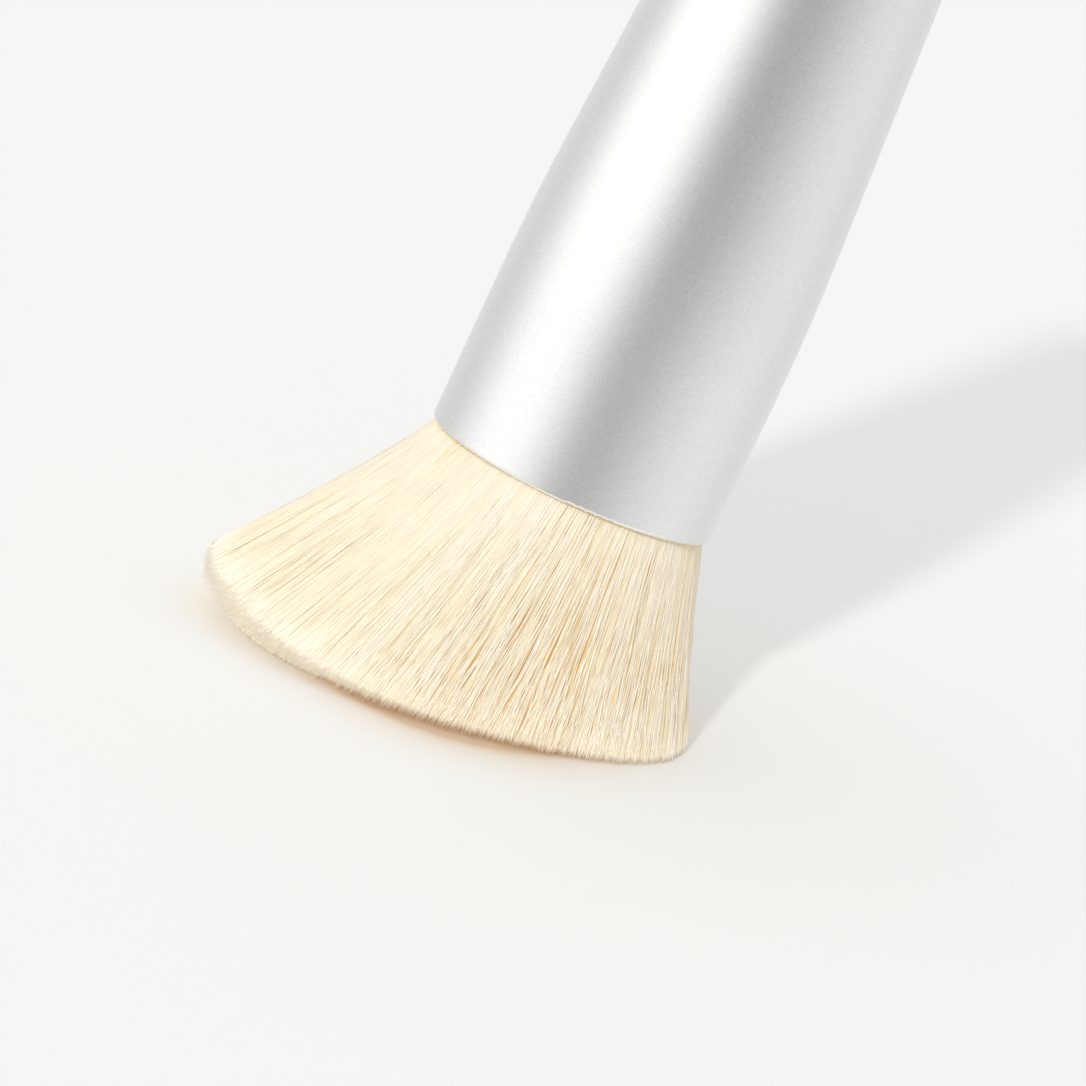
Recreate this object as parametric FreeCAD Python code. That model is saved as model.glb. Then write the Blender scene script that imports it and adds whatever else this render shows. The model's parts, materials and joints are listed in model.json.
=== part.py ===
import FreeCAD, Part
import math
import os

# Angled foundation brush: a round one-piece metal handle that is its own ferrule, and a dense
# tuft of bristles that fans from the round mouth to a wide oval face cut at an angle.
# Millimetres. The brush stands on the face of its tuft, which is the plane z = 0, with the
# origin at the middle of that face, +X along the oval's long side and the handle leaning
# to +X and +Y.
# Each piece is built on the brush's own axis, with the handle's mouth at z = 0 and the handle
# above it, and is then turned so that the cut face lies flat.

# Handle
handle_radius = 13.0
handle_wall = 0.8
handle_length = 70.0
barrel_length = 20.0
taper_deg = 3.5
taper_blend_radius = 200.0
end_wall = 1.0
end_round = 1.6
lip_round = 0.3

# Cup and resin that hold the roots inside the handle
cup_recess = 4.0
cup_depth = 9.0
cup_wall = 0.8
cup_base = 1.0
resin_thick = 4.0
glue_gap = 0.1

# Tuft
head_length = 20.6
face_half_width = 22.2
face_half_depth = 12.6
face_offset = 3.4
side_cut_deg = 7.8
front_cut_deg = 8.5
tip_round = 1.2
long_end_lift = 5.0
long_end_pull = 5.6
tip_round_steps = 4
fan_steps = 4
fan_flare = 1.1
lock_count = 140
root_groove = 0.012
tip_groove = 0.036
mouth_gap = 0.1


def corner_edges(before, corner, after, radius):
    """The point where a rounded corner starts, its arc (or None) and the point where it ends."""
    if radius == 0:
        return corner, None, corner
    back = (before - corner).normalize()
    ahead = (after - corner).normalize()
    half_angle = back.getAngle(ahead) / 2
    reach = radius / math.tan(half_angle)
    start = corner + back * reach
    end = corner + ahead * reach
    to_centre = (back + ahead).normalize()
    middle = corner + to_centre * (radius / math.sin(half_angle) - radius)
    return start, Part.Arc(start, middle, end).toShape(), end


def turned_solid(corners):
    """A solid of revolution about Z from (radius, height, rounding) corners of its section."""
    points = [FreeCAD.Vector(radius, 0, height) for radius, height, rounding in corners]
    count = len(corners)
    rounded = [
        corner_edges(points[i - 1], points[i], points[(i + 1) % count], corners[i][2])
        for i in range(count)
    ]
    edges = []
    for i, (start, arc, end) in enumerate(rounded):
        if arc:
            edges.append(arc)
        next_start = rounded[(i + 1) % count][0]
        edges.append(Part.makeLine(end, next_start))
    section = Part.Face(Part.Wire(edges))
    return section.revolve(FreeCAD.Vector(), FreeCAD.Vector(0, 0, 1), 360)


def handle_side(inset, end_height):
    """Radii and heights of the handle's side, moved inwards by inset: mouth, bend and end."""
    taper = math.radians(taper_deg)
    radius = handle_radius - inset
    bend_height = barrel_length - inset * math.tan(taper / 2)
    end_radius = radius - (end_height - bend_height) * math.tan(taper)
    return radius, bend_height, end_radius


def handle_shell():
    radius, bend_height, end_radius = handle_side(0, handle_length)
    inner_end = handle_length - end_wall
    bore_radius, bore_bend, bore_end_radius = handle_side(handle_wall, inner_end)
    return turned_solid([
        (radius, 0, lip_round),
        (radius, bend_height, taper_blend_radius),
        (end_radius, handle_length, end_round),
        (0, handle_length, 0),
        (0, inner_end, 0),
        (bore_end_radius, inner_end, end_round - handle_wall),
        (bore_radius, bore_bend, taper_blend_radius - handle_wall),
        (bore_radius, 0, lip_round),
    ])


# Sizes that more than one piece takes from the handle and the cup
mouth_radius = handle_radius - handle_wall
cup_outer_radius = mouth_radius - glue_gap
cup_inner_radius = cup_outer_radius - cup_wall
cup_floor = cup_recess + cup_depth
root_height = cup_floor - resin_thick - glue_gap


def tuft_cup():
    """The cup opens towards the tuft, with its base on the far side of the roots."""
    top = cup_floor + cup_base
    return turned_solid([
        (cup_outer_radius, cup_recess, 0),
        (cup_outer_radius, top, 0),
        (0, top, 0),
        (0, cup_floor, 0),
        (cup_inner_radius, cup_floor, 0),
        (cup_inner_radius, cup_recess, 0),
    ])


def root_resin():
    """The resin is cast in the cup and fills it from its base down to the cut roots."""
    foot = FreeCAD.Vector(0, 0, cup_floor - resin_thick)
    return Part.makeCylinder(cup_inner_radius, resin_thick, foot)


side_slope = math.tan(math.radians(side_cut_deg))
front_slope = math.tan(math.radians(front_cut_deg))


def lock_swell(index, groove):
    """How far a point of the outline lies out from the middle: locks stand, gaps sink in."""
    unevenness = 0.65 + 0.35 * math.sin(2.4 * index) * math.cos(0.7 * index)
    in_gap = index % 2
    return 1 - groove * unevenness * in_gap


def outline_angles():
    """Two corners for each lock, one on its crest and one in the gap beside it."""
    corner_count = 2 * lock_count
    return [2 * math.pi * index / corner_count for index in range(corner_count)]


def bound_section(height, radius):
    """A round section where the handle or its cup holds the bristles."""
    points = []
    for index, angle in enumerate(outline_angles()):
        reach = radius * lock_swell(index, root_groove)
        points.append(FreeCAD.Vector(reach * math.cos(angle), reach * math.sin(angle), height))
    return points


def tip_section(turn):
    """The rounded edge of the cut face, from its shoulder (turn 0) to the flat (turn 90 degrees).

    The edge is a small round, and grows to a large one at the long end of the face.
    """
    points = []
    for index, angle in enumerate(outline_angles()):
        swell = lock_swell(index, tip_groove)
        long_end = ((1 - math.cos(angle)) / 2) ** 4
        pulled = 1 - math.cos(turn)
        half_width = face_half_width - (tip_round + long_end_pull * long_end) * pulled
        half_depth = face_half_depth - tip_round * pulled
        across = half_width * swell * math.cos(angle)
        away = half_depth * swell * math.sin(angle)
        face_height = side_slope * across + front_slope * away - head_length
        lift = (tip_round + long_end_lift * long_end) * (1 - math.sin(turn))
        points.append(FreeCAD.Vector(across - face_offset, away, face_height + lift))
    return points


def fan_section(share):
    """A section between the mouth and the shoulder: the fan opens a little faster near the tips."""
    mouth = bound_section(0, mouth_radius - mouth_gap)
    shoulder = tip_section(0)
    spread = share ** fan_flare
    points = []
    for near, far in zip(mouth, shoulder):
        point = near + (far - near) * spread
        point.z = far.z * share
        points.append(point)
    return points


def bristle_tuft():
    bound_radius = cup_inner_radius - mouth_gap
    sections = [bound_section(root_height, bound_radius), bound_section(cup_recess, bound_radius)]
    for step in range(fan_steps):
        sections.append(fan_section(step / fan_steps))
    for step in range(tip_round_steps + 1):
        sections.append(tip_section(math.pi / 2 * step / tip_round_steps))
    outlines = [Part.makePolygon(points + points[:1]) for points in sections]
    return Part.makeLoft(outlines, True, True)


def standing_on_face():
    """The placement that lays the tuft's cut face on the plane z = 0, its middle at the origin."""
    face_middle = FreeCAD.Vector(-face_offset, 0, -head_length)
    face_normal = FreeCAD.Vector(-side_slope, -front_slope, 1)
    turn = FreeCAD.Rotation(face_normal, FreeCAD.Vector(0, 0, 1))
    return FreeCAD.Placement(-turn.multVec(face_middle), turn)


pieces = {
    "handle_shell": handle_shell,
    "tuft_cup": tuft_cup,
    "root_resin": root_resin,
    "bristle_tuft": bristle_tuft,
}

os.makedirs("parts", exist_ok=True)
stand = standing_on_face()
for name, build in pieces.items():
    shape = build()
    shape.Placement = stand.multiply(shape.Placement)
    shape.exportStep("parts/" + name + ".step")
    print(name, "volume", round(shape.Volume, 1), "valid", shape.isValid())

handle_end = stand.multVec(FreeCAD.Vector(0, 0, handle_length))
handle_axis = stand.Rotation.multVec(FreeCAD.Vector(0, 0, 1))
print("handle end", [round(value, 4) for value in handle_end])
print("handle axis", [round(value, 6) for value in handle_axis])
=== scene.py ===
import json
import math

import bpy
import numpy as np
from mathutils import Matrix, Vector


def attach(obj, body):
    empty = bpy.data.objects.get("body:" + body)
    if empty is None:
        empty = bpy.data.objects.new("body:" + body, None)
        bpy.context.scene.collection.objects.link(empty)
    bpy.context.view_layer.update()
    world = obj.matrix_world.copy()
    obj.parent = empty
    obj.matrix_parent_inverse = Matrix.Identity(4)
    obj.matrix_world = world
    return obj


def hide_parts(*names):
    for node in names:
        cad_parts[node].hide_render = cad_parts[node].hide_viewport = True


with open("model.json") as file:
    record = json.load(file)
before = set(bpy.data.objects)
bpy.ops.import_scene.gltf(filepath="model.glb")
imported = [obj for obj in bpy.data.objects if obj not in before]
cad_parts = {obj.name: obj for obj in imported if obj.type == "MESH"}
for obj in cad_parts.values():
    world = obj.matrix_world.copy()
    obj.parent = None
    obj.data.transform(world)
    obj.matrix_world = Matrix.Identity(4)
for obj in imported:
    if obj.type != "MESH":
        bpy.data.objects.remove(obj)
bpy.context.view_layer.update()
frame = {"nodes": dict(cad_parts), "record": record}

MM = 0.001
FULL_TURN = 2 * math.pi

# Sizes of the brush, in metres, along its own axis: the handle's mouth is at height 0
HANDLE_LENGTH = 70 * MM
MOUTH_RADIUS = 12.12 * MM
FACE_HALF_WIDTH = 22.2 * MM
FACE_HALF_DEPTH = 12.6 * MM
FACE_OFFSET = 3.4 * MM
TIP_ROUND = 1.2 * MM
LONG_END_LIFT = 5.0 * MM
LONG_END_PULL = 5.6 * MM
FAN_FLARE = 1.1

# The tips near the outline of the face stop a little above it: by the full lift as far in as
# EDGE_INNER, and by none from EDGE_OUTER on
EDGE_LIFT = 0.6 * MM
EDGE_LIFT_AT_ENDS = 0.35
EDGE_INNER = 1.5 * MM
EDGE_OUTER = 2.3 * MM
LOWEST_POINT = 0.01 * MM

# The long end of the face, measured by 0 at the short end of the outline and 1 at the long end
LONG_END_START = 0.35
LONG_END_RISE = 0.50

# Outer bristles, which show on the side of the tuft
SECTORS = ("right", "back", "left", "front")
STRANDS_PER_SECTOR = 3150
STRAND_SIDES = 3
STRAND_RADIUS = 0.060 * MM
OUTER_DEPTH = 0.85 * MM
ROOT_BULGE = 0.42 * MM
BULGE_RISE = 0.015
BULGE_FADE = 0.30
TIP_TUCK = 0.08 * MM

# Rings of an outer bristle: share of the way to the tip, thickness, how white it is with painted
# glow, and painted shade of the mouth
OUTER_RINGS = np.array([
    (-0.04, 1.0, 0.0, 0.45),
    (0.0, 1.0, 0.0, 0.45),
    (0.015, 1.0, 0.0, 0.0),
    (0.15, 1.0, 0.0, 0.0),
    (0.36, 1.0, 0.0, 0.0),
    (0.50, 1.0, 0.0, 0.0),
    (0.62, 1.0, 0.0, 0.0),
    (0.73, 1.0, 0.0, 0.0),
    (0.83, 1.0, 0.05, 0.0),
    (0.91, 0.85, 0.35, 0.0),
    (0.97, 0.45, 0.9, 0.0),
    (1.0, 0.0, 1.0, 0.0),
])
OUTER_SHARES, OUTER_TAPER, OUTER_WHITE_AND_GLOW, ROOT_SHADE = OUTER_RINGS.T

# How far the outer bristles wander, as single ones, in locks and in small locks
DRIFT = 0.45 * MM
OWN_RIPPLE = 0.09 * MM
OWN_WEAVE = 0.10 * MM
WIGGLE = 0.05 * MM
LOOSE_WIGGLE = 0.11 * MM
LOOSE_DEPTH = 0.06
LOCKS = 118
LOCK_SWAY = 0.12 * MM
LOCK_RIPPLE = 0.07 * MM
LOCK_GATHER = 0.03
SMALL_LOCKS = 520
SMALL_SWAY = 0.10 * MM
SMALL_RIPPLE = 0.10 * MM
SMALL_GATHER = 0.12
PROUD = 0.08 * MM

# How unequal their lengths are
LENGTH_SPREAD = 0.70 * MM
LENGTH_WAVE = 0.05 * MM

# Shares of the wandering and of the depth that are lost at the long end
LONG_END_CALM = 0.82
LONG_END_ROOT_CLOSE = 0.9
LONG_END_TIP_CLOSE = 0.5

# Tone of the outer bristles, from 0, golden, to 1, nearly white; its fall with depth is painted
# shade
OUTER_TONE = 0.80
TONE_SPREAD = 0.17
DEPTH_PAINTED_SHADE = 1.7
LONG_END_TONE = 0.17

# Short slits between the outer bristles: the lengths without a unit are shares of theirs
SLITS = 310
SLIT_HALF_WIDTH = 0.115 * MM
SLIT_REACH = 0.22 * MM
SLIT_FIRST = 0.42
SLIT_RANGE = 0.48
SLIT_LENGTH = 0.06
SLIT_LENGTH_SPREAD = 0.015
SLIT_LENGTH_LIMITS = (0.04, 0.09)
SLIT_DEEPEST = 0.6
SLIT_FADE = 0.3

# Ends of the inner bristles, which fill the cut face
END_STRANDS = 17000
END_REACH = 0.94
END_RADIUS = 0.105 * MM
END_LEAN = 0.12 * MM
END_LENGTH_SPREAD = 0.14 * MM
END_SHARES = np.array([0.88, 0.985, 1.0])
END_TAPER = np.array([1.0, 0.75, 0.0])
END_WHITE_AND_GLOW = np.array([0.0, 0.5, 0.8])

# Core under the outer bristles: its flutes are given as number, height and phase
CORE_DEPTH = 0.75 * MM
CORE_CORNERS = 720
CORE_SHARES = np.array([-0.05, 0.0, 0.12, 0.3, 0.5, 0.7, 0.85, 0.96])
CORE_FLUTES = ((97, 0.10, 0), (151, 0.08, 1))

# The photograph's view of the brush
PHOTO_SIZE = 1086
MM_PER_PIXEL = 0.0855 * MM
CAMERA_DISTANCE = 440 * MM
AXIS_ANGLE = math.radians(64.9)
AXIS_TO_CAMERA = math.radians(10.6)
MOUTH_PIXEL = (571.5, 477.0)

# Floor, with a painted warm shade round the tuft
FLOOR_HALF = 3.0
PAINTED_SHADE_SHIFT = (1.9 * MM, -1.3 * MM)
PAINTED_SHADE_HALF_WIDTH = FACE_HALF_WIDTH - 9 * MM

# Lamp
KEY_STRENGTH = 1.10
KEY_AZIMUTH = math.radians(254.0)
KEY_ELEVATION = math.radians(28.5)
KEY_ANGLE = math.radians(3.5)

# Light round the horizon: degrees to the right of the camera, then brightness. The satin metal
# reflects one pair of values: near the mouth and, where the lamp is brighter, far from it.
# Which of the two is seen goes by how far the reflection points along the handle
REFLECTED = (
    (-180, 0.90, 0.90), (-150, 0.80, 0.80), (-122, 0.62, 0.65), (-100, 0.74, 0.82),
    (-84, 0.90, 1.29), (-70, 1.00, 1.39), (-46, 0.98, 1.39), (-30, 0.66, 1.36),
    (-14, 0.40, 0.76), (2, 0.46, 0.35), (20, 0.65, 0.32), (45, 0.89, 0.50), (75, 0.97, 0.72),
    (100, 0.84, 0.84), (135, 0.72, 0.72), (160, 0.84, 0.84), (180, 0.90, 0.90),
)
ALONG_HANDLE = (-0.365, 0.12)
AROUND = ((-180, 0.95), (-90, 1.03), (0, 0.79), (90, 0.67), (180, 0.95))
BACKDROP = 0.92
FLOOR_GLOW = 1.05
FLOOR_GLOW_HEIGHTS = (-0.6, -0.9)

rng = np.random.default_rng(20)

handle_end = next(m for m in frame["record"]["mounts"] if m["name"] == "handle_end")
handle_axis = Vector(handle_end["axis"]).normalized()
mouth = Vector(handle_end["pos_m"]) - handle_axis * HANDLE_LENGTH
turn = Vector((0, 0, 1)).rotation_difference(handle_axis).to_matrix()
TURN = np.array(turn)
MOUTH = np.array(mouth)


def to_row(points):
    """Points on the brush's own axis, as an array, moved to where the frame has the brush."""
    return points @ TURN.T + MOUTH


def smooth_step(value):
    """0 below 0, 1 above 1 and a smooth rise between them."""
    share = np.clip(value, 0, 1)
    return share ** 2 * (3 - 2 * share)


def face_height(x, y):
    """Height on the brush's axis at which the cut face passes under (x, y)."""
    return -(MOUTH[2] + TURN[2, 0] * x + TURN[2, 1] * y) / TURN[2, 2]


def tip_points(angle, reach):
    """Ends of the bristles that stand at that angle and share of the way out from the middle.

    They lie on the flat cut face, on the rounded long end and, near the outline, a little
    above the face.
    """
    long_end = ((1 - np.cos(angle)) / 2) ** 4
    pull = (TIP_ROUND + LONG_END_PULL * long_end) / FACE_HALF_WIDTH
    pulled = np.clip((1 - reach) / pull, 0, 1)
    lift = LONG_END_LIFT * long_end * (1 - np.sqrt(1 - (1 - pulled) ** 2))
    x = FACE_HALF_WIDTH * reach * np.cos(angle)
    y = FACE_HALF_DEPTH * reach * np.sin(angle)
    depth = (1 / np.maximum(reach, 0.01) - 1) * np.hypot(x, y)
    inward = smooth_step((depth - EDGE_INNER) / (EDGE_OUTER - EDGE_INNER))
    side_share = EDGE_LIFT_AT_ENDS + (1 - EDGE_LIFT_AT_ENDS) * np.sin(angle) ** 2
    lift = lift + EDGE_LIFT * side_share * (1 - inward)
    x_row = x - FACE_OFFSET
    return np.stack([x_row, y, face_height(x_row, y) + lift], axis=-1)


def root_points(angle, reach):
    """Where the same bristles pass the handle's mouth."""
    x = MOUTH_RADIUS * reach * np.cos(angle)
    y = MOUTH_RADIUS * reach * np.sin(angle)
    return np.stack([x, y, 0 * x], axis=-1)


def fan_path(angle, root_reach, tip_reach, shares):
    """Points of each bristle, from inside the mouth (share under 0) to its tip (share 1).

    Angle and both reaches are columns with a row for each bristle.
    """
    root, tip = root_points(angle, root_reach), tip_points(angle, tip_reach)
    spread = np.clip(shares[:, None], 0, 1) ** FAN_FLARE
    path = root + (tip - root) * spread
    path[:, :, 2] = tip[:, :, 2] * shares
    return path


def toward_long_end(angle):
    """0 over the front, the back and the short end of the tuft, up to 1 at the long end."""
    return smooth_step(((1 - np.cos(angle)) / 2 - LONG_END_START) / LONG_END_RISE)


def outline_frame(angle):
    """Unit vectors along the tuft's outline and out of it, and the outline's speed by angle."""
    sine, cosine = np.sin(angle), np.cos(angle)
    along = np.stack([-FACE_HALF_WIDTH * sine, FACE_HALF_DEPTH * cosine, 0 * angle], axis=-1)
    out = np.stack([FACE_HALF_DEPTH * cosine, FACE_HALF_WIDTH * sine, 0 * angle], axis=-1)
    speed = np.linalg.norm(along, axis=-1, keepdims=True)
    return along / speed, out / np.linalg.norm(out, axis=-1, keepdims=True), speed[..., 0]


def lock_table(count, seed):
    """Random facts of each lock: where it stands, how it waves and how far it stands proud."""
    draw = np.random.default_rng(seed)
    jitter = draw.uniform(-0.35, 0.35, count)
    return {
        "angle": (np.arange(count) + 0.5 + jitter) * FULL_TURN / count,
        "sway": draw.normal(0, 1, count),
        "wave": draw.normal(0, 1, count),
        "phase": draw.uniform(0, FULL_TURN, count),
        "proud": draw.normal(0, 1, count),
        "tone": draw.normal(0, 1, count),
    }


def nearest_lock(angle, table):
    """The facts of the lock nearest to each angle, and the signed angle to it."""
    around = np.concatenate([table["angle"] + lap * FULL_TURN for lap in (-1, 0, 1)])
    after = np.searchsorted(around, angle)
    nearer_before = angle - around[after - 1] < around[after] - angle
    pick = np.where(nearer_before, after - 1, after)
    facts = {key: values[pick % len(values)] for key, values in table.items()}
    return facts, around[pick] - angle


big_locks = lock_table(LOCKS, 3)
small_locks = lock_table(SMALL_LOCKS, 5)
slits = lock_table(SLITS, 11)


def slit_push(angle, share, deep):
    """How far the slits push the outer bristles aside. Each slit is a short thin lens.

    angle is where each bristle stands at each share of its length.
    """
    slit, to_slit = nearest_lock(angle, slits)
    mean_radius = 0.5 * (FACE_HALF_WIDTH + FACE_HALF_DEPTH)
    distance = to_slit * (MOUTH_RADIUS * (1 - share) + mean_radius * share)
    centre = SLIT_FIRST + SLIT_RANGE * slit["phase"] / FULL_TURN
    length = np.clip(SLIT_LENGTH + SLIT_LENGTH_SPREAD * slit["wave"], *SLIT_LENGTH_LIMITS)
    width = SLIT_HALF_WIDTH * np.clip(0.7 + 0.5 * slit["sway"], 0, 1.4)
    lens = np.exp(-((share - centre) / length) ** 2) * np.exp(-(distance / SLIT_REACH) ** 2)
    near_surface = np.clip((SLIT_DEEPEST - deep) / SLIT_FADE, 0, 1)
    return -np.sign(distance) * width * lens * near_surface


def add_piece(name, data):
    """A new object of that mesh, lamp or camera, in the scene."""
    piece = bpy.data.objects.new(name, data)
    bpy.context.scene.collection.objects.link(piece)
    return piece


def strand_mesh(name, path, radius, tone, whiteness_and_glow):
    """One piece of thin strands, each of which follows its row of path and ends in its tip.

    radius has a value for each ring; tone and whiteness have that or one for the whole strand.
    """
    count, rings = path.shape[0], path.shape[1] - 1
    tangent = np.gradient(path, axis=1)
    tangent /= np.linalg.norm(tangent, axis=2, keepdims=True)
    side = np.cross(tangent, np.array([0.31, -0.27, 0.91]))
    side /= np.linalg.norm(side, axis=2, keepdims=True)
    other = np.cross(tangent, side)
    spin = rng.uniform(0, FULL_TURN, (count, 1, 1, 1))
    phase = spin + np.arange(STRAND_SIDES)[:, None] * FULL_TURN / STRAND_SIDES
    offset = side[:, :rings, None] * np.cos(phase) + other[:, :rings, None] * np.sin(phase)
    tube = path[:, :rings, None] + offset * radius[:, :rings, None, None]
    verts = np.concatenate([tube.reshape(count, -1, 3), path[:, rings:]], axis=1)
    points = to_row(verts.reshape(-1, 3))
    points[:, 2] = np.maximum(points[:, 2], LOWEST_POINT)

    quads = []
    tris = []
    last = (rings - 1) * STRAND_SIDES
    for corner in range(STRAND_SIDES):
        following = (corner + 1) % STRAND_SIDES
        for low in range(0, last, STRAND_SIDES):
            high = low + STRAND_SIDES
            quads.append([low + corner, low + following, high + following, high + corner])
        tris.append([last + corner, last + following, last + STRAND_SIDES])
    start = np.arange(count)[:, None, None] * verts.shape[1]
    quad_index = (np.array(quads) + start).ravel()
    tri_index = (np.array(tris) + start).ravel()
    loops = np.concatenate([quad_index, tri_index])
    loop_starts = np.concatenate([
        np.arange(0, len(quad_index), 4),
        np.arange(len(quad_index), len(loops), 3),
    ])

    mesh = bpy.data.meshes.new(name)
    mesh.vertices.add(len(points))
    mesh.vertices.foreach_set("co", points.astype(np.float32).ravel())
    mesh.loops.add(len(loops))
    mesh.loops.foreach_set("vertex_index", loops.astype(np.int32))
    mesh.polygons.add(len(loop_starts))
    mesh.polygons.foreach_set("loop_start", loop_starts.astype(np.int32))
    mesh.update(calc_edges=True)
    mesh.validate()
    mesh.shade_smooth()
    for key, values in (("tone", tone), ("whiteness_and_glow", whiteness_and_glow)):
        by_ring = np.broadcast_to(values, (count, rings + 1))
        around = np.repeat(by_ring[:, :rings], STRAND_SIDES, axis=1)
        by_point = np.clip(np.concatenate([around, by_ring[:, rings:]], axis=1), 0, 1)
        attribute = mesh.attributes.new(key, "FLOAT", "POINT")
        attribute.data.foreach_set("value", by_point.astype(np.float32).ravel())
    return add_piece(name, mesh)


def outer_strands(name, first_angle, sweep, count):
    """The bristles that show on the tuft's side, gathered in wavy locks.

    At the long end they are calmer and closer together. Arrays have a row for each bristle and
    a column for each ring, or just one column.
    """
    place = np.arange(count)[:, None] + rng.uniform(0, 1, (count, 1))
    angle = (first_angle + sweep * place / count) % FULL_TURN
    long_end = toward_long_end(angle)
    rough = 1 - LONG_END_CALM * long_end
    deep = rng.uniform(0, 1, (count, 1)) ** (1.1 + 0.9 * long_end)
    depth_share = OUTER_DEPTH * deep / MOUTH_RADIUS
    root_reach = 1 - depth_share * (1 - LONG_END_ROOT_CLOSE * long_end)
    tip_reach = 1 - depth_share * (1 - LONG_END_TIP_CLOSE * long_end)
    path = fan_path(angle, root_reach, tip_reach, OUTER_SHARES)

    share = np.clip(OUTER_SHARES, 0, 1)
    opened = share ** 0.9
    waist = np.sin(math.pi * share) ** 0.7
    belly = np.sin(math.pi * share ** 1.4)
    big, to_big = nearest_lock(angle, big_locks)
    small, to_small = nearest_lock(angle, small_locks)
    along, out, speed = outline_frame(angle)

    # Sideways, along the outline
    drift = DRIFT * rng.normal(0, 1, (count, 1)) * (share - rng.uniform(0, 0.6, (count, 1)))
    phase = rng.uniform(0, FULL_TURN, (count, 1))
    weave_turns = rng.uniform(5, 9, (count, 1))
    sway = LOCK_SWAY * big["sway"] + SMALL_SWAY * small["sway"]
    ripple = (
        LOCK_RIPPLE * big["wave"] * np.sin(5.0 * share + big["phase"])
        + SMALL_RIPPLE * small["wave"] * np.sin(11.0 * share + small["phase"])
        + OWN_RIPPLE * np.sin(11.0 * share + phase)
    )
    gather = speed * (SMALL_GATHER * to_small + LOCK_GATHER * to_big) * belly
    wiggle = rng.normal(0, 1, path.shape[:2]) * np.where(deep < LOOSE_DEPTH, LOOSE_WIGGLE, WIGGLE)
    aside = drift + rough * (opened * (sway + ripple + wiggle) + gather)
    per_turn = MOUTH_RADIUS * (1 - share) + speed * share
    aside = aside + (0.1 + 0.9 * rough) * slit_push(angle + aside / per_turn, share, deep)
    path += along * aside[:, :, None]

    # Outwards
    weave = OWN_WEAVE * waist * np.sin(weave_turns * share + 2.3 * phase)
    proud = PROUD * opened * (
        big["proud"] * np.sin(6.0 * share + big["phase"])
        + small["proud"] * np.sin(9.0 * share + small["phase"])
    )
    bulge = ROOT_BULGE * (1 - np.exp(-share / BULGE_RISE)) * np.exp(-share / BULGE_FADE)
    bulge -= TIP_TUCK * opened
    path += out * (rough * (proud + weave) + bulge)[:, :, None]

    # Lengthways
    length_error = LENGTH_SPREAD * (rng.uniform(0, 1, (count, 1)) ** 2.5 + 0.15)
    length_error += LENGTH_WAVE * small["wave"]
    direction = path[:, -1] - path[:, -3]
    direction /= np.linalg.norm(direction, axis=1, keepdims=True)
    for ring, weight in ((-1, 1.0), (-2, 0.6), (-3, 0.25)):
        path[:, ring] += direction * length_error * weight

    radius = STRAND_RADIUS * rng.uniform(0.80, 1.20, (count, 1)) * OUTER_TAPER
    own_tone = 0.12 + TONE_SPREAD * rng.normal(0, 1, (count, 1)) + 0.05 * small["tone"]
    # Lower, more golden tone for deeper bristles and, by the mouth's column, for the rings under
    # the mouth: painted shade
    tone = OUTER_TONE + rough * own_tone - DEPTH_PAINTED_SHADE * (0.3 + 0.7 * rough) * deep
    tone = tone - LONG_END_TONE * long_end * share - ROOT_SHADE
    # The ends are whiter, more so at the long end, and the same value gives them a brighter glow:
    # partly the real whitening of tapered ends, partly painted light
    whiteness_and_glow = OUTER_WHITE_AND_GLOW * (0.6 + 0.2 * long_end)
    return strand_mesh(name, path, radius, tone, whiteness_and_glow)


def face_strands(name, count):
    """The ends of the inner bristles, which fill the cut face: darker and more golden near its
    outline, a painted shade under the tips' edge.
    """
    golden_angle = math.pi * (3 - math.sqrt(5))
    order = np.arange(count)[:, None] + 0.5
    angle = (order * golden_angle) % FULL_TURN
    reach = END_REACH * np.sqrt(order / count) + rng.normal(0, 0.004, (count, 1))
    reach = np.clip(reach, 0, END_REACH + 0.01)
    path = fan_path(angle, reach, reach, END_SHARES)
    lean = rng.normal(0, END_LEAN, (count, 2))
    path[:, -1, :2] += lean
    path[:, -2, :2] += lean * 0.6
    path[:, -1, 2] += np.abs(rng.normal(0, END_LENGTH_SPREAD, count))
    radius = END_RADIUS * rng.uniform(0.85, 1.2, (count, 1)) * END_TAPER
    # Near the outline a lower tone is painted shade; farther in and at the long end the ends are
    # lighter, whiter and glow more
    inner = np.clip((END_REACH - 0.01 - reach) / 0.15, 0, 1)
    inner = np.maximum(inner, toward_long_end(angle))
    tone = 0.1 + 0.4 * inner + 0.2 * rng.normal(0, 1, (count, 1))
    return strand_mesh(name, path, radius, tone, inner * END_WHITE_AND_GLOW)


def tuft_core(name):
    """A fluted closed body just under the outer bristles, so that no light passes through."""
    angle = np.arange(CORE_CORNERS)[:, None] * FULL_TURN / CORE_CORNERS
    flutes = sum(height * np.sin(angle * number + phase) for number, height, phase in CORE_FLUTES)
    reach = 1 - CORE_DEPTH / MOUTH_RADIUS * (1 + flutes)
    path = fan_path(angle, reach, reach, CORE_SHARES)
    rings = np.transpose(path, (1, 0, 2)).reshape(-1, 3)
    ends = [path[:, 0].mean(axis=0), path[:, -1].mean(axis=0)]
    verts = to_row(np.concatenate([rings, ends]))
    last = len(rings) - CORE_CORNERS
    top_index, bottom_index = len(rings), len(rings) + 1
    faces = []
    for i in range(CORE_CORNERS):
        j = (i + 1) % CORE_CORNERS
        for low in range(0, last, CORE_CORNERS):
            high = low + CORE_CORNERS
            faces.append((low + i, high + i, high + j, low + j))
        faces.append((i, j, top_index))
        faces.append((last + j, last + i, bottom_index))
    mesh = bpy.data.meshes.new(name)
    mesh.from_pydata(verts.tolist(), [], faces)
    mesh.update()
    mesh.shade_smooth()
    return add_piece(name, mesh)


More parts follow.
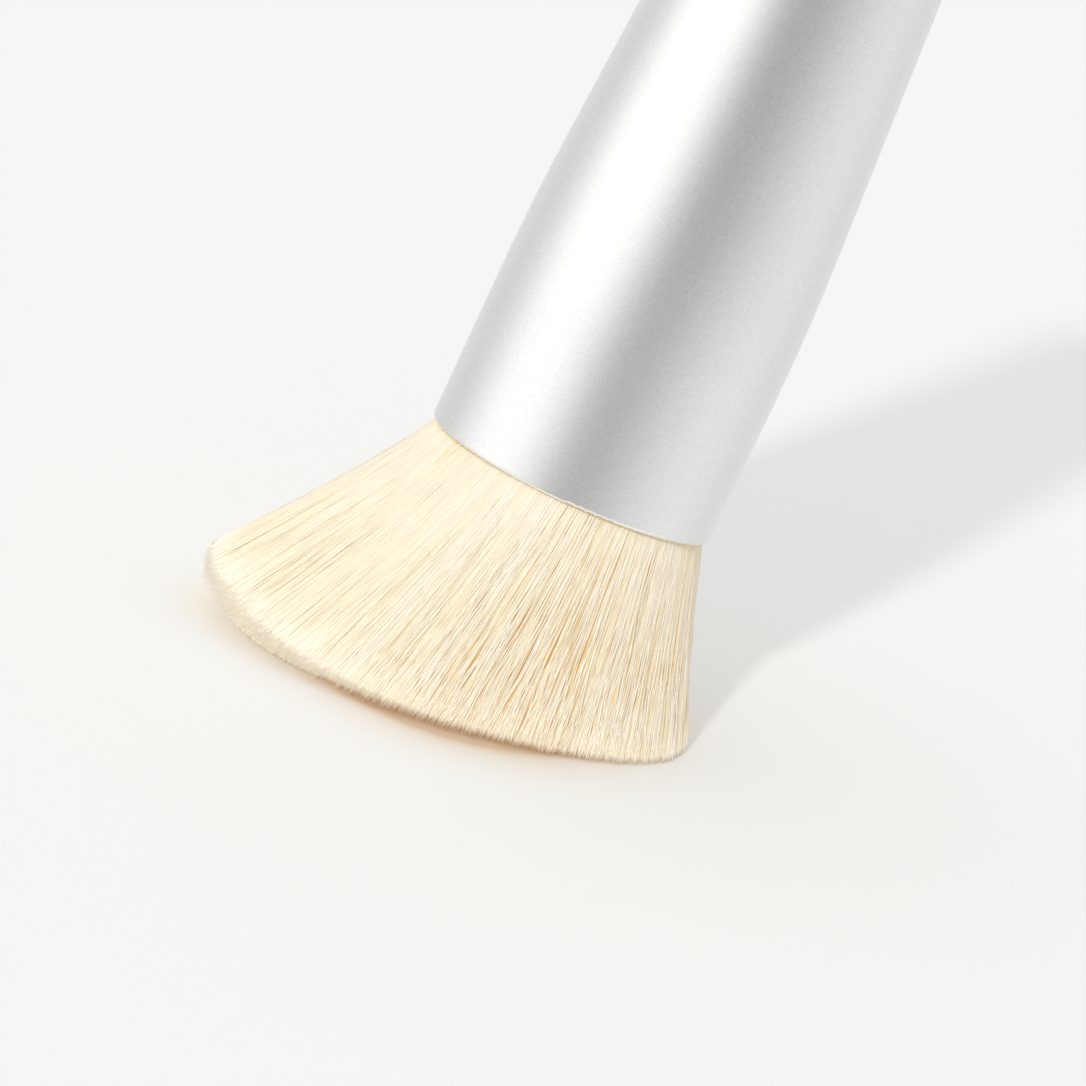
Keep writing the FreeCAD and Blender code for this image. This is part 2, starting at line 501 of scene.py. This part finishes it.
def node(tree, kind, **values):
    """A new shader node with its properties and unlinked inputs set by name."""
    made = tree.nodes.new(kind)
    for key, value in values.items():
        if key in made.inputs:
            made.inputs[key].default_value = value
        else:
            setattr(made, key, value)
    return made


def new_material(name):
    """A new material, its node tree and its shader."""
    material = bpy.data.materials.new(name)
    material.use_nodes = True
    tree = material.node_tree
    return material, tree, tree.nodes["Principled BSDF"]


def set_inputs(made, values):
    """Sets a node's unlinked inputs by name."""
    for key, value in values.items():
        made.inputs[key].default_value = value


def ramp(tree, factor, stops):
    """A colour ramp fed by a socket, with stops of (position, colour)."""
    made = tree.nodes.new("ShaderNodeValToRGB")
    elements = made.color_ramp.elements
    while len(elements) < len(stops):
        elements.new(1.0)
    for element, (position, colour) in zip(elements, stops):
        element.position = position
        element.color = (*colour, 1)
    tree.links.new(factor, made.inputs["Fac"])
    return made.outputs["Color"]


def ranged(tree, value, low, high, to_low=0.0, to_high=1.0):
    """A socket's value, moved and clamped from one range to another."""
    made = tree.nodes.new("ShaderNodeMapRange")
    set_inputs(made, {"From Min": low, "From Max": high, "To Min": to_low, "To Max": to_high})
    tree.links.new(value, made.inputs["Value"])
    return made.outputs["Result"]


def grained_material(name, noise, dark, light, bump, values):
    """A material whose colour and surface follow one noise, and that noise's socket."""
    material, tree, shader = new_material(name)
    place = node(tree, "ShaderNodeTexCoord")
    grain = node(tree, "ShaderNodeTexNoise", **noise)
    tree.links.new(place.outputs["Object"], grain.inputs["Vector"])
    colour = ramp(tree, grain.outputs["Fac"], [(0.3, dark), (0.7, light)])
    tree.links.new(colour, shader.inputs["Base Color"])
    raised = node(tree, "ShaderNodeBump", **bump)
    tree.links.new(grain.outputs["Fac"], raised.inputs["Height"])
    tree.links.new(raised.outputs["Normal"], shader.inputs["Normal"])
    set_inputs(shader, values)
    return material, grain.outputs["Fac"]


def bristle_material():
    """Cream filament: each strand has its own tone, lowered where shade is painted, and the ends
    are whiter and glow more.

    The small emission is painted light: it stands for the light that passes through the filaments,
    and it is golden where they lie deep and paler and brighter at the ends.
    """
    material, tree, shader = new_material("cream_filament")
    tone = node(tree, "ShaderNodeAttribute", attribute_name="tone")
    whiteness_and_glow = node(tree, "ShaderNodeAttribute", attribute_name="whiteness_and_glow")
    body = ramp(tree, tone.outputs["Fac"], [
        (0.0, (0.84, 0.58, 0.24)),
        (0.35, (0.85, 0.70, 0.44)),
        (0.65, (0.86, 0.79, 0.63)),
        (1.0, (0.87, 0.84, 0.765)),
    ])
    passed = ramp(tree, tone.outputs["Fac"], [
        (0.0, (0.58, 0.38, 0.15)),
        (0.5, (0.42, 0.31, 0.175)),
    ])
    # The ends are mixed toward a whiter colour and toward a paler, brighter glow, which is painted
    # light
    for colour, end_colour, socket in (
        (body, (0.95, 0.91, 0.82), "Base Color"),
        (passed, (0.78, 0.73, 0.63), "Emission Color"),
    ):
        mix = tree.nodes.new("ShaderNodeMix")
        mix.data_type = "RGBA"
        tree.links.new(whiteness_and_glow.outputs["Fac"], mix.inputs["Factor"])
        tree.links.new(colour, mix.inputs["A"])
        mix.inputs["B"].default_value = (*end_colour, 1)
        tree.links.new(mix.outputs["Result"], shader.inputs[socket])
    set_inputs(shader, {"Roughness": 0.42, "Specular IOR Level": 0.15, "Emission Strength": 0.33})
    return material


def core_material():
    """The deeper bristles seen between the strands, golden from the light that bounces there."""
    material, grain = grained_material(
        "deep_filament",
        {"Scale": 2600.0, "Detail": 3.0, "Roughness": 0.6},
        (0.93, 0.72, 0.40),
        (0.97, 0.82, 0.56),
        {"Strength": 0.4, "Distance": 0.0001},
        {
            "Roughness": 0.7,
            "Specular IOR Level": 0.1,
            "Emission Color": (1.0, 0.70, 0.36, 1),
            "Emission Strength": 0.12,
        },
    )
    return material


def metal_material():
    """Bead-blasted aluminium: satin, with a very fine grain."""
    material, grain = grained_material(
        "satin_aluminium",
        {"Scale": 5500.0, "Detail": 2.0, "Roughness": 0.7},
        (0.84, 0.84, 0.822),
        (0.965, 0.965, 0.945),
        {"Strength": 0.35, "Distance": 0.00002},
        {"Metallic": 1.0},
    )
    tree = material.node_tree
    roughness = ranged(tree, grain, 0.3, 0.7, 0.33, 0.39)
    tree.links.new(roughness, tree.nodes["Principled BSDF"].inputs["Roughness"])
    return material


def moulded_material(name, dark, light, roughness, scale):
    """The hidden plastic cup and cast resin: a plain colour with a slight mottle."""
    material, grain = grained_material(
        name,
        {"Scale": scale, "Detail": 4.0},
        dark,
        light,
        {"Strength": 0.2, "Distance": 0.00005},
        {"Roughness": roughness},
    )
    return material


def dress(name, material):
    """Gives a CAD node its material."""
    mesh = frame["nodes"][name].data
    mesh.materials.clear()
    mesh.materials.append(material)


def add_camera():
    """The camera sees the brush as the photograph does."""
    to_camera = turn @ Vector((0, -math.cos(AXIS_TO_CAMERA), math.sin(AXIS_TO_CAMERA)))
    axis_in_view = turn @ Vector((0, math.sin(AXIS_TO_CAMERA), math.cos(AXIS_TO_CAMERA)))
    across = turn @ Vector((1, 0, 0))
    right = axis_in_view * math.cos(AXIS_ANGLE) + across * math.sin(AXIS_ANGLE)
    up = axis_in_view * math.sin(AXIS_ANGLE) - across * math.cos(AXIS_ANGLE)
    off_right = (MOUTH_PIXEL[0] - PHOTO_SIZE / 2) * MM_PER_PIXEL
    off_up = (PHOTO_SIZE / 2 - MOUTH_PIXEL[1]) * MM_PER_PIXEL
    place = mouth + to_camera * CAMERA_DISTANCE - right * off_right - up * off_up
    data = bpy.data.cameras.new("camera")
    data.sensor_fit = "HORIZONTAL"
    data.angle = 2 * math.atan(PHOTO_SIZE * MM_PER_PIXEL / 2 / CAMERA_DISTANCE)
    data.clip_start = 10 * MM
    data.clip_end = 20
    camera = add_piece("camera", data)
    rotation = Matrix((right, up, to_camera)).transposed()
    camera.matrix_world = Matrix.Translation(place) @ rotation.to_4x4()
    bpy.context.scene.camera = camera


def add_floor():
    """A large plain pale surface, with a faint painted warm shade round the tuft."""
    corners = [(-1, -1), (1, -1), (1, 1), (-1, 1)]
    verts = [(x * FLOOR_HALF, y * FLOOR_HALF, 0) for x, y in corners]
    mesh = bpy.data.meshes.new("floor")
    mesh.from_pydata(verts, [], [(0, 1, 2, 3)])
    floor = add_piece("floor", mesh)

    ends = to_row(tip_points(np.array([0.0, math.pi]), np.array([1.0, 1.0])))
    middle = (ends[0] + ends[1]) / 2
    across = ends[0] - ends[1]
    material, tree, shader = new_material("pale_floor_painted_shade")
    place = node(tree, "ShaderNodeTexCoord")
    outline = node(tree, "ShaderNodeMapping", vector_type="TEXTURE")
    set_inputs(outline, {
        "Location": (middle[0] + PAINTED_SHADE_SHIFT[0], middle[1] + PAINTED_SHADE_SHIFT[1], 0),
        "Rotation": (0, 0, math.atan2(across[1], across[0])),
        "Scale": (PAINTED_SHADE_HALF_WIDTH, FACE_HALF_DEPTH, 1),
    })
    tree.links.new(place.outputs["Object"], outline.inputs["Vector"])
    distance = node(tree, "ShaderNodeVectorMath", operation="LENGTH")
    tree.links.new(outline.outputs["Vector"], distance.inputs[0])
    # Painted warm shade: darkest inside an ellipse under the tuft, fading to the plain floor colour
    # farther out
    colour = ramp(tree, ranged(tree, distance.outputs["Value"], 1.0, 2.0), [
        (0.0, (0.68, 0.53, 0.39)),
        (0.05, (0.77, 0.655, 0.54)),
        (0.12, (0.83, 0.77, 0.695)),
        (0.25, (0.862, 0.838, 0.797)),
        (0.45, (0.892, 0.882, 0.86)),
        (0.70, (0.900, 0.900, 0.882)),
    ])
    tree.links.new(colour, shader.inputs["Base Color"])
    set_inputs(shader, {"Roughness": 0.9, "Specular IOR Level": 0.1})
    mesh.materials.append(material)
    floor.visible_glossy = False


def add_key():
    """A small soft lamp in front, to the left of the camera: it throws the handle's shadow."""
    data = bpy.data.lights.new("key", "SUN")
    data.energy = KEY_STRENGTH
    data.angle = KEY_ANGLE
    lamp = add_piece("key", data)
    toward = Vector((
        math.cos(KEY_AZIMUTH) * math.cos(KEY_ELEVATION),
        math.sin(KEY_AZIMUTH) * math.cos(KEY_ELEVATION),
        math.sin(KEY_ELEVATION),
    ))
    lamp.rotation_euler = toward.to_track_quat("Z", "Y").to_euler()
    lamp.visible_glossy = False


def add_studio():
    """White light all round, brighter on the left. Gloss sees a soft lamp there and a dark side."""
    world = bpy.data.worlds.new("studio")
    bpy.context.scene.world = world
    world.use_nodes = True
    world.cycles.sampling_method = "NONE"
    tree = world.node_tree
    tree.nodes.clear()
    place = node(tree, "ShaderNodeTexCoord")
    parts = tree.nodes.new("ShaderNodeSeparateXYZ")
    tree.links.new(place.outputs["Generated"], parts.inputs["Vector"])

    # Angle to the right of the camera, and share of the direction along the handle
    minus_y = node(tree, "ShaderNodeMath", operation="MULTIPLY")
    minus_y.inputs[1].default_value = -1.0
    tree.links.new(parts.outputs["Y"], minus_y.inputs[0])
    azimuth = node(tree, "ShaderNodeMath", operation="ARCTAN2")
    tree.links.new(parts.outputs["X"], azimuth.inputs[0])
    tree.links.new(minus_y.outputs["Value"], azimuth.inputs[1])
    along = node(tree, "ShaderNodeVectorMath", operation="DOT_PRODUCT")
    along.inputs[1].default_value = handle_axis
    tree.links.new(place.outputs["Generated"], along.inputs[0])

    def banded(bands):
        most = max(value for degrees, value in bands)
        stops = [((degrees + 180) / 360, (value / most,) * 3) for degrees, value in bands]
        round_share = ranged(tree, azimuth.outputs["Value"], -math.pi, math.pi)
        light = node(tree, "ShaderNodeBackground", Strength=most)
        tree.links.new(ramp(tree, round_share, stops), light.inputs["Color"])
        return light.outputs["Background"]

    def even(strength):
        light = node(tree, "ShaderNodeBackground", Color=(1.0, 1.0, 0.99, 1), Strength=strength)
        return light.outputs["Background"]

    def mixed(factor, first, second):
        choose = tree.nodes.new("ShaderNodeMixShader")
        for socket, given in zip(choose.inputs, (factor, first, second)):
            tree.links.new(given, socket)
        return choose.outputs["Shader"]

    near, far = (banded([(row[0], row[column]) for row in REFLECTED]) for column in (1, 2))
    gloss = mixed(ranged(tree, along.outputs["Value"], *ALONG_HANDLE), near, far)
    downward = ranged(tree, parts.outputs["Z"], *FLOOR_GLOW_HEIGHTS)
    gloss = mixed(downward, gloss, even(FLOOR_GLOW))
    ray = tree.nodes.new("ShaderNodeLightPath").outputs
    seen = mixed(ray["Is Glossy Ray"], banded(AROUND), gloss)
    seen = mixed(ray["Is Camera Ray"], seen, even(BACKDROP))
    output = tree.nodes.new("ShaderNodeOutputWorld")
    tree.links.new(seen, output.inputs["Surface"])
    bpy.context.scene.view_settings.view_transform = "Standard"


add_camera()
add_floor()
add_key()
add_studio()

cup_plastic = moulded_material("cup_plastic", (0.78, 0.77, 0.73), (0.84, 0.83, 0.79), 0.6, 900.0)
cast_resin = moulded_material("cast_resin", (0.72, 0.60, 0.42), (0.80, 0.70, 0.52), 0.25, 500.0)
dress("handle_shell", metal_material())
dress("tuft_cup", cup_plastic)
dress("root_resin", cast_resin)

filament = bristle_material()
core = tuft_core("tuft_core")
core.data.materials.append(core_material())
tuft_pieces = [core]
sector = FULL_TURN / len(SECTORS)
for index, side in enumerate(SECTORS):
    strands = outer_strands("bristles_" + side, (index - 0.5) * sector, sector, STRANDS_PER_SECTOR)
    tuft_pieces.append(strands)
tuft_pieces.append(face_strands("bristle_ends", END_STRANDS))
for piece in tuft_pieces[1:]:
    piece.data.materials.append(filament)
for piece in tuft_pieces:
    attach(piece, "root")
    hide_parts("bristle_tuft")
